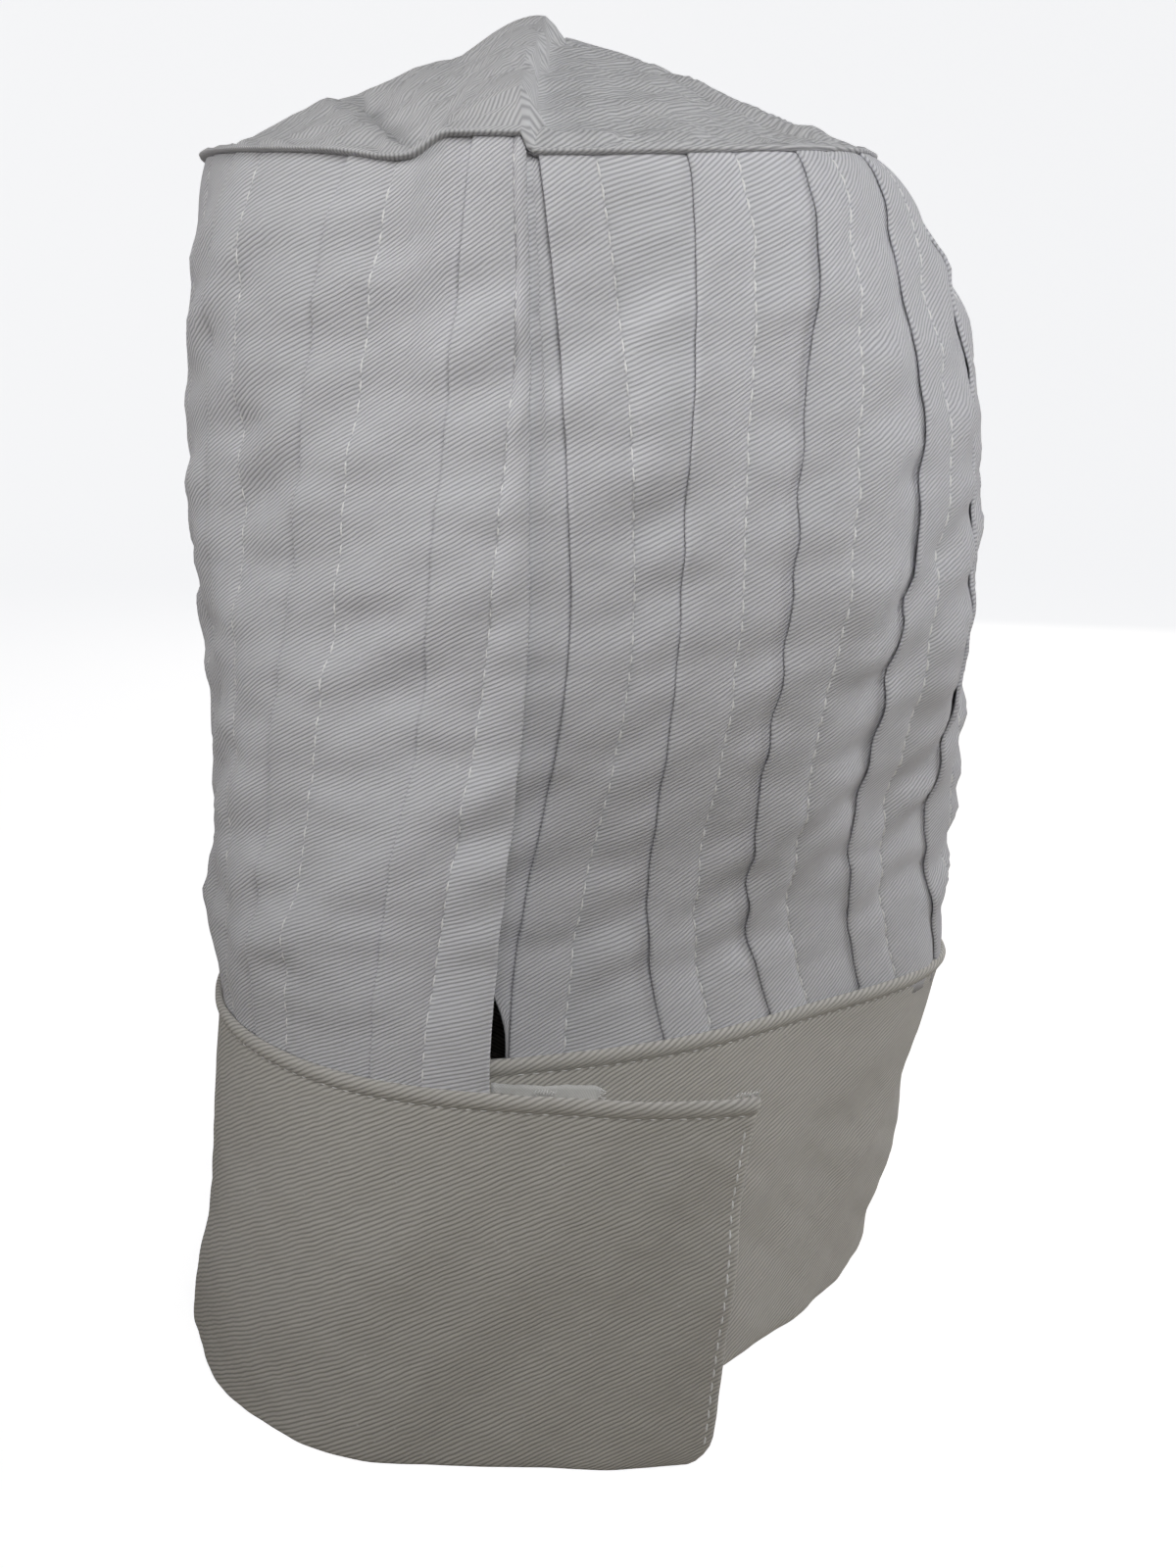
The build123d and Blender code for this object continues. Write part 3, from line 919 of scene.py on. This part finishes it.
# --- Band and tab topstitching ---
# One row of thread just under the band's turned top edge, which also catches the pleats. On the tab
# it turns the corner and runs down the end edge.
top_row = outer_heights.index(groove_height)
end_column = len(tab_edge) - 1
root_column = int(np.searchsorted(band_where, 0.075))
skin = 0.5 * band_ply
row_pitch = 3.4
row_thread = 0.15
tab_run = slice(end_column, root_column + 1)
tab_top = outer_places[top_row, tab_run] + outer_outward[top_row, tab_run] * skin
side_rows = slice(len(outer_foot), top_row)
tab_side = outer_places[side_rows, end_column] + outer_outward[side_rows, end_column] * skin
tab_stitches = stitch_row(tab_top, outer_outward[top_row, tab_run], row_pitch, 2.2, row_thread, 31)
tab_stitches += stitch_row(tab_side, outer_outward[side_rows, end_column], row_pitch, 2.7, 0.24, 32)
tab_thread = sewn("tab_edge_topstitching", tab_stitches, white_thread, None, ["tab_edge_stitching"])
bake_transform(tab_thread)

band_top_line = outer_places[top_row, root_column:-len(end_edge)]
band_top_out = outer_outward[top_row, root_column:-len(end_edge)]
band_stitches = stitch_row(
    band_top_line + band_top_out * skin, band_top_out, row_pitch, 2.2, row_thread, 33
)
sewn("band_top_topstitching", band_stitches, white_thread, "hat", ["band_top_stitching"])

# --- Fastening tapes ---
# Woven tape sewn to the band: soft loops on the outside of the underlap, and stiff hooks on the
# tab's inner face. Pressing them together closes the band to the head.
tape_bottom = 22.0
tape_top = 70.0
tape_body = 0.45


def tape_material(name, light, dark, thread_scale):
    """Plain woven nylon tape: crossing threads, a little shine."""
    made, tree, shader = new_material(name, 0.5)
    flat = tree.nodes.new("ShaderNodeUVMap").outputs["UV"]
    part = tree.nodes.new("ShaderNodeSeparateXYZ")
    join(tree, flat, part.inputs[0])
    warp = reckon(tree, "SINE", reckon(tree, "MULTIPLY", part.outputs[0], thread_scale))
    weft = reckon(tree, "SINE", reckon(tree, "MULTIPLY", part.outputs[1], thread_scale))
    grid = reckon(tree, "MULTIPLY_ADD", reckon(tree, "MULTIPLY", warp, weft), 0.5, 0.5)
    fuzz = cloud(tree, flat, 700.0, 3.0, 0.6)
    mask = weighed(tree, grid, 0.5, fuzz, 0.5)
    join(tree, blend_colours(tree, mask, dark, light), shader.inputs["Base Color"])
    bump(tree, shader, mask, 0.6, 0.15 * mm)
    return made


tape_weave = tape_material("white_nylon_tape", (0.86, 0.86, 0.84, 1.0), (0.62, 0.62, 0.6, 1.0), 9000.0)


def tape_patch(name, where, depth, material, node, body, flip):
    """A strip of tape that follows the band."""
    heights = np.linspace(tape_bottom, tape_top, 26)
    places, outward = band_surface(heights, where, depth)
    girth = girth_of(where)
    flat = np.stack(np.meshgrid(girth, heights), -1)
    tape = cloth_grid(name, places, flat, flip)
    thicken(tape, tape_body)
    tape.data.materials.append(material)
    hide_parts(node)
    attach(tape, body)
    return places, outward


loop_where = np.linspace(0.9, 0.98, 36)
loop_places, loop_outward = tape_patch(
    "loop_tape_strip", loop_where, -0.6, tape_weave, "loop_tape", "hat", True
)
hook_where = np.linspace(-0.78, -0.39, 24)
hook_places, hook_outward = tape_patch(
    "hook_tape_strip", hook_where, 2.45, tape_weave, "hook_tape", "closure_tab", True
)


def bristle(name, places, outward, count_x, count_z, reach, hook, thread, body):
    """Rows of small nylon loops or hooks that stand on a tape."""
    draw = np.random.default_rng(7)
    rows = np.linspace(0.06, 0.94, count_z) * (places.shape[0] - 1)
    columns = np.linspace(0.05, 0.95, count_x) * (places.shape[1] - 1)
    turns = np.radians([0, 40, 80, 120, 160]) if not hook else np.radians([0, 45, 95, 150])
    verts, faces = [], []
    for r in rows:
        for c in columns:
            i = min(int(r + draw.uniform(-0.25, 0.25)), places.shape[0] - 2)
            j = min(int(c), places.shape[1] - 2)
            corner = places[i, j] + (places[i + 1, j] - places[i, j]) * (r - int(r))
            foot = corner + (places[i, j + 1] - places[i, j]) * (c - int(c))
            up = outward[i, j]
            lean_to = draw.uniform(-0.5, 0.5)
            side = np.array([-up[1] * math.cos(lean_to), up[0] * math.cos(lean_to), math.sin(lean_to)])
            across = np.cross(up, side)
            tall = reach * draw.uniform(0.8, 1.15)
            first = len(verts)
            for turn in turns:
                middle = foot + side * 0.45 * tall * (1 - math.cos(turn)) + up * tall * math.sin(turn)
                outwards = math.cos(turn) * -side + math.sin(turn) * up
                verts += [middle + outwards * thread, middle + across * thread,
                          middle - outwards * thread, middle - across * thread]
            for n in range(len(turns) - 1):
                for m in range(4):
                    a, b = first + 4 * n + m, first + 4 * n + (m + 1) % 4
                    faces.append((a, b, b + 4, a + 4))
            faces.append((first + 3, first + 2, first + 1, first))
            last = first + 4 * (len(turns) - 1)
            faces.append((last, last + 1, last + 2, last + 3))
    mesh = bpy.data.meshes.new(name)
    mesh.from_pydata(in_frame(np.array(verts)), [], faces)
    mesh.shade_smooth()
    nap = bpy.data.objects.new(name, mesh)
    bpy.context.scene.collection.objects.link(nap)
    mesh.materials.append(white_thread)
    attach(nap, body)


bristle("loop_tape_nap", loop_places + loop_outward * 0.2, loop_outward, 42, 38, 0.55, False, 0.07, "hat")
bristle("hook_tape_hooks", hook_places - hook_outward * 0.2, -hook_outward, 18, 38, 0.6, True, 0.09,
        "closure_tab")


def edge_rows(places, outward, rows):
    """Stitches along the top and bottom of a tape."""
    made = []
    for n, r in enumerate(rows):
        made += stitch_row(places[r, 1:-1], outward[r, 1:-1], 3.0, 2.4, 0.18, 50 + n)
    return made


sewn("loop_tape_topstitching", edge_rows(loop_places + loop_outward * 0.3, loop_outward, (1, 24)),
     white_thread, "hat", ["loop_tape_stitching"])
sewn("hook_tape_topstitching", edge_rows(hook_places - hook_outward * 0.3, -hook_outward, (1, 24)),
     white_thread, "closure_tab", ["hook_tape_stitching"])

# --- Seam tape end ---
# The raw end of a narrow cotton tape that binds the seam inside the band: it shows above the tab's
# top edge at the slit, with its cut end ravelled.
seam_heights = np.linspace(83.0, 93.6, 12)
seam_tape_share = 0.42
seam_where = np.linspace(-seam_tape_share, 0.0, 26)
seam_places, _ = band_surface(seam_heights, seam_where, 3.1)
rise = (seam_heights - seam_heights[0])[:, None] / (seam_heights[-1] - seam_heights[0])
seam_places[..., 2] += 0.18 * rise * ripple(seam_where[None] * 58, rise * 3, 61, 9, 9)
ragged = 1.6 * ripple(rise * 9, 0 * rise, 62, 3, 1) * ease((-seam_where[None] - 0.3) / 0.12)
seam_places[..., 0] += ragged
seam_places[..., 2] += 2.4 * np.clip(-seam_where[None], 0, 1) * rise
seam_flat = np.stack(np.meshgrid(seam_where * tab_length, seam_heights), -1)
seam_tape = cloth_grid("seam_tape_raw_end", seam_places, seam_flat, flip=True)
thicken(seam_tape, 0.35)
seam_tape.data.materials.append(tape_weave)
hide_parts("seam_tape_end")
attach(seam_tape, "closure_tab")

cut_ahead = seam_places[:, :1] - seam_places[:, 1:2]
cut_ahead = np.repeat(cut_ahead / np.linalg.norm(cut_ahead, axis=-1, keepdims=True), 2, axis=1)
bristle("seam_tape_ravel", seam_places[:, :2], cut_ahead, 2, 14, 1.5, True, 0.08, "closure_tab")

# Yarn ends that have worked loose from the tab's top edge, at its corner and near the slit
yarn_rise = np.array([0.45, -0.35, 0.82])
for name, middle, width in (("tab_corner_ravel", -0.95, 0.05), ("tab_top_ravel", -0.2, 0.04)):
    yarn_where = np.linspace(middle - width, middle + width, 4)
    yarn_places, _ = band_surface([92.8, 93.2], yarn_where, 0.2)
    yarn_up = np.broadcast_to(yarn_rise / np.linalg.norm(yarn_rise), yarn_places.shape)
    bristle(name, yarn_places, yarn_up, 8, 3, 1.2, True, 0.09, "closure_tab")

# --- Studio ---
# A pale floor that curves up all round, a key light in front and above, a soft light at each side
# and one behind, and a low fill.
bpy.ops.object.select_all(action="DESELECT")
bpy.ops.mesh.primitive_circle_add(vertices=96, radius=2.2, fill_type="NGON")
floor = bpy.context.object
floor.name = "studio_floor"
bpy.ops.object.mode_set(mode="EDIT")
bpy.ops.mesh.select_all(action="SELECT")
bpy.ops.mesh.region_to_loop()
for step in range(1, 9):
    turn = math.radians(90 * step / 8)
    before = math.radians(90 * (step - 1) / 8)
    outer = 2.2 + 0.9 * math.sin(turn)
    inner_edge = 2.2 + 0.9 * math.sin(before)
    bpy.ops.mesh.extrude_region_move()
    bpy.ops.transform.resize(value=(outer / inner_edge, outer / inner_edge, 1))
    bpy.ops.transform.translate(value=(0, 0, 0.9 * (math.cos(before) - math.cos(turn))))
bpy.ops.mesh.extrude_region_move()
bpy.ops.transform.translate(value=(0, 0, 2.0))
bpy.ops.mesh.select_all(action="SELECT")
bpy.ops.mesh.normals_make_consistent(inside=True)
bpy.ops.object.mode_set(mode="OBJECT")
bpy.ops.object.shade_smooth()
floor_paint, floor_tree, floor_shader = new_material("pale_floor", 0.9)
floor_tone = cloud(floor_tree, floor_tree.nodes.new("ShaderNodeTexCoord").outputs["Object"], 3.0)
floor_colour = blend_colours(floor_tree, floor_tone, (0.5, 0.46, 0.4, 1.0), (0.53, 0.49, 0.43, 1.0))
join(floor_tree, floor_colour, floor_shader.inputs["Base Color"])
floor_shader.inputs["Emission Color"].default_value = (0.97, 0.98, 1.0, 1.0)
seen = floor_tree.nodes.new("ShaderNodeLightPath").outputs["Is Camera Ray"]
join(floor_tree, reckon(floor_tree, "MULTIPLY", seen, 0.9), floor_shader.inputs["Emission Strength"])
floor.data.materials.append(floor_paint)


def soft_light(name, place, target, size, power, colour=(1, 1, 1), spread=180):
    """A square soft light that points at a target."""
    lamp = bpy.data.lights.new(name, "AREA")
    lamp.size = size
    lamp.energy = power
    lamp.color = colour
    lamp.spread = math.radians(spread)
    holder = bpy.data.objects.new(name, lamp)
    bpy.context.scene.collection.objects.link(holder)
    holder.location = place
    aim = np.array(target) - np.array(place)
    level = math.hypot(aim[0], aim[1])
    holder.rotation_euler = (math.atan2(level, -aim[2]), 0, math.atan2(-aim[0], aim[1]))
    return holder


soft_light("key_light", (0.1, -0.6, 0.53), (-0.01, -0.05, 0.3), 0.32, 0.44, spread=75)
soft_light("left_light", (-1.05, -0.2, 0.62), (-0.03, -0.05, 0.3), 0.5, 0.3, (1.0, 0.99, 0.99), spread=30)
soft_light("right_light", (1.1, 0.2, 0.6), (0, 0, 0.18), 0.6, 4.8, (0.96, 0.97, 1.0))
soft_light("back_light", (0.5, 1.3, 0.6), (0, 0, 0.18), 0.7, 4.0)
world = bpy.data.worlds.new("studio_air")
world.use_nodes = True
world.node_tree.nodes["Background"].inputs["Color"].default_value = (0.93, 0.93, 1.0, 1.0)
world.node_tree.nodes["Background"].inputs["Strength"].default_value = 0.08
bpy.context.scene.world = world
bpy.context.scene.view_settings.view_transform = "Standard"

lens = bpy.data.cameras.new("camera")
lens.lens = 38.7
camera = bpy.data.objects.new("camera", lens)
bpy.context.scene.collection.objects.link(camera)
camera.location = (0.00316, -0.44759, 0.24)
camera.rotation_euler = (math.pi / 2 - 0.22, 0, 0)
bpy.context.scene.camera = camera
